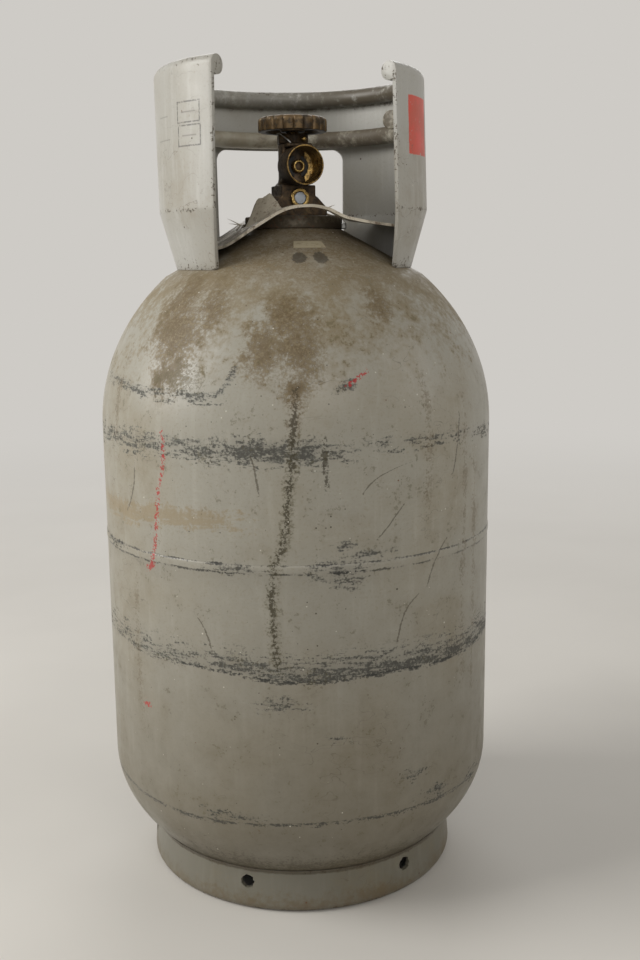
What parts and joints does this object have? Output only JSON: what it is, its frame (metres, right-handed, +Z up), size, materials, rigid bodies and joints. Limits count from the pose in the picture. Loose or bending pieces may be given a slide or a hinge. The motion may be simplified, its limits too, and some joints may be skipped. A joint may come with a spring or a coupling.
{
  "type": "gas cylinder",
  "caption": "Weathered grey steel gas cylinder on a foot ring, with an open sheet guard round a brass hand-wheel valve with side outlet, bleed screw and relief valve.",
  "frame": {"origin": "on the floor, at the middle of the foot ring", "axes": "+Z up along the vessel's axis; the guard's front opening faces -Y"},
  "size_m": [0.301, 0.301, 0.6139],
  "materials": {
    "vessel_paint": "weathered satin grey paint with brown stains, dark rub bands and scratches",
    "guard_paint": "satin pale grey paint with chipped edges",
    "worn_steel": "dirty worn steel with paint remains",
    "dark_brass": "brown tarnished brass",
    "bright_brass": "machined bright brass",
    "black_rubber": "matte black",
    "plated_steel": "dull zinc plate",
    "pale_plastic": "pale blue-white, matte"
  },
  "bodies": {
    "vessel": {"lower_shell": "vessel_paint", "upper_shell": "vessel_paint", "foot_ring": "guard_paint", "neck_ring": "worn_steel", "guard_wall": "guard_paint", "guard_rod": "guard_paint", "guard_floor": "worn_steel", "valve_body": "dark_brass", "outlet_nozzle": "bright_brass", "outlet_seal": "black_rubber", "bonnet_nut": "dark_brass", "gland_seal": "black_rubber", "bleed_ring": "bright_brass", "bleed_seal": "black_rubber", "relief_spring": "plated_steel", "relief_cap": "dark_brass"},
    "wheel": {"handwheel": "dark_brass", "handwheel_washer": "plated_steel", "handwheel_nut": "plated_steel", "spindle": "bright_brass"},
    "plug": {"lifting_plug": "bright_brass", "seat_disc": "black_rubber"},
    "bleed": {"bleed_screw": "pale_plastic"},
    "relief": {"relief_poppet": "bright_brass"}
  },
  "joints": [
    {"name": "wheel_turn", "type": "hinge", "parent": "vessel", "child": "wheel", "pos_m": [0, 0, 0.57], "axis": [0, 0, 1], "range_deg": [0, 720]},
    {"name": "plug_lift", "type": "slide", "parent": "wheel", "child": "plug", "axis": [0, 0, 1], "range_m": [0, 0.004]},
    {"name": "bleed_turn", "type": "hinge", "parent": "vessel", "child": "bleed", "pos_m": [0.00315, -0.01364, 0.5214], "axis": [0.225, -0.9744, 0], "range_deg": [0, 360]},
    {"name": "relief_lift", "type": "slide", "parent": "vessel", "child": "relief", "axis": [-0.225, 0.9744, 0], "range_m": [0, 0.0015], "stiffness_N_per_m": 8000, "springref_m": -0.003, "deforming": ["relief_spring"]}
  ],
  "couplings": [
    {"joint": "wheel_turn", "follows": "plug_lift", "rad_per_m": 3141.6}
  ]
}
